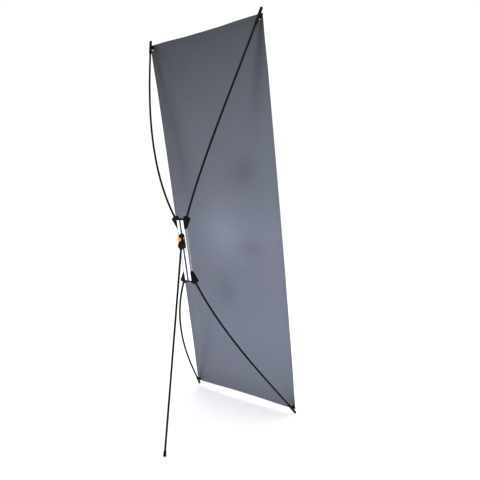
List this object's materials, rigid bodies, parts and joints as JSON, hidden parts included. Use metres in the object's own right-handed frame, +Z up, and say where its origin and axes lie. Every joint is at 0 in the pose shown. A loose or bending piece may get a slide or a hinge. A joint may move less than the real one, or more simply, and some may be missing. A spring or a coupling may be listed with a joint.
{
  "type": "x-banner stand",
  "caption": "Leaning X-banner stand: a sheet hooked by corner eyelets on bent glass-fibre poles, folding sockets on a slotted profile and a rear leg on a clamped slider.",
  "frame": {"origin": "on the floor, under the middle of the whole stand's width and depth", "axes": "+Z up, +Y to the rear (towards the rear leg), +X to the right of someone facing the same way as +Y"},
  "size_m": [0.603, 0.6408, 1.7998],
  "materials": {
    "profile": "satin anodised extrusion",
    "moulding": "black moulded plastic, slightly glossy",
    "pole": "black coated glass fibre",
    "sheet": "coated banner sheet, white unprinted face and blue-grey blockout back",
    "eyelet": "nickel-plated crimped eyelet",
    "steel": "zinc-plated",
    "rivet": "black-coated steel",
    "clamp_orange": "orange moulded plastic",
    "foot_rubber": "soft black cap"
  },
  "bodies": {
    "hub": {"hub_profile": "profile", "end_cap_upper": "moulding", "end_cap_lower": "moulding", "cap_screw_upper_right": "steel", "cap_screw_upper_left": "steel", "cap_screw_lower_right": "steel", "cap_screw_lower_left": "steel", "arm_rivet_upper_right": "rivet", "arm_rivet_upper_left": "rivet", "arm_rivet_lower_right": "rivet", "arm_rivet_lower_left": "rivet", "banner_sheet": "sheet"},
    "arm_upper_right": {"arm_socket_upper_right": "moulding", "pole_upper_right": "pole", "corner_tip_upper_right": "moulding", "eyelet_upper_right": "eyelet"},
    "arm_upper_left": {"arm_socket_upper_left": "moulding", "pole_upper_left": "pole", "corner_tip_upper_left": "moulding", "eyelet_upper_left": "eyelet"},
    "arm_lower_right": {"arm_socket_lower_right": "moulding", "pole_lower_right": "pole", "corner_tip_lower_right": "moulding", "eyelet_lower_right": "eyelet"},
    "arm_lower_left": {"arm_socket_lower_left": "moulding", "pole_lower_left": "pole", "corner_tip_lower_left": "moulding", "eyelet_lower_left": "eyelet"},
    "slider": {"slider_block": "moulding", "clamp_nut": "steel", "clamp_bar": "clamp_orange", "leg_pin": "steel"},
    "knob": {"clamp_knob": "clamp_orange", "clamp_stud": "steel"},
    "leg": {"leg_holder": "moulding", "leg_pole": "pole", "leg_foot": "foot_rubber"}
  },
  "joints": [
    {"name": "upper_right_fold", "type": "hinge", "parent": "hub", "child": "arm_upper_right", "pos_m": [0.0208, 0.22373, 0.96472], "axis": [0, -0.9744, 0.225], "range_deg": [0, 19], "deforming": ["banner_sheet"]},
    {"name": "upper_left_fold", "type": "hinge", "parent": "hub", "child": "arm_upper_left", "pos_m": [-0.0208, 0.22373, 0.96472], "axis": [0, 0.9744, -0.225], "range_deg": [0, 19], "deforming": ["banner_sheet"]},
    {"name": "lower_right_fold", "type": "hinge", "parent": "hub", "child": "arm_lower_right", "pos_m": [0.0208, 0.16164, 0.69579], "axis": [0, 0.9744, -0.225], "range_deg": [0, 19], "deforming": ["banner_sheet"]},
    {"name": "lower_left_fold", "type": "hinge", "parent": "hub", "child": "arm_lower_left", "pos_m": [-0.0208, 0.16164, 0.69579], "axis": [0, -0.9744, 0.225], "range_deg": [0, 19], "deforming": ["banner_sheet"]},
    {"name": "slider_travel", "type": "slide", "parent": "hub", "child": "slider", "axis": [0, 0.225, 0.9744], "range_m": [-0.14, 0.05]},
    {"name": "knob_turn", "type": "hinge", "parent": "slider", "child": "knob", "pos_m": [0, 0.2148, 0.8816], "axis": [0, 0.9744, -0.225], "range_deg": [0, 540]},
    {"name": "leg_fold", "type": "hinge", "parent": "slider", "child": "leg", "pos_m": [0, 0.21977, 0.85069], "axis": [1, 0, 0], "range_deg": [-19, 0]}
  ]
}
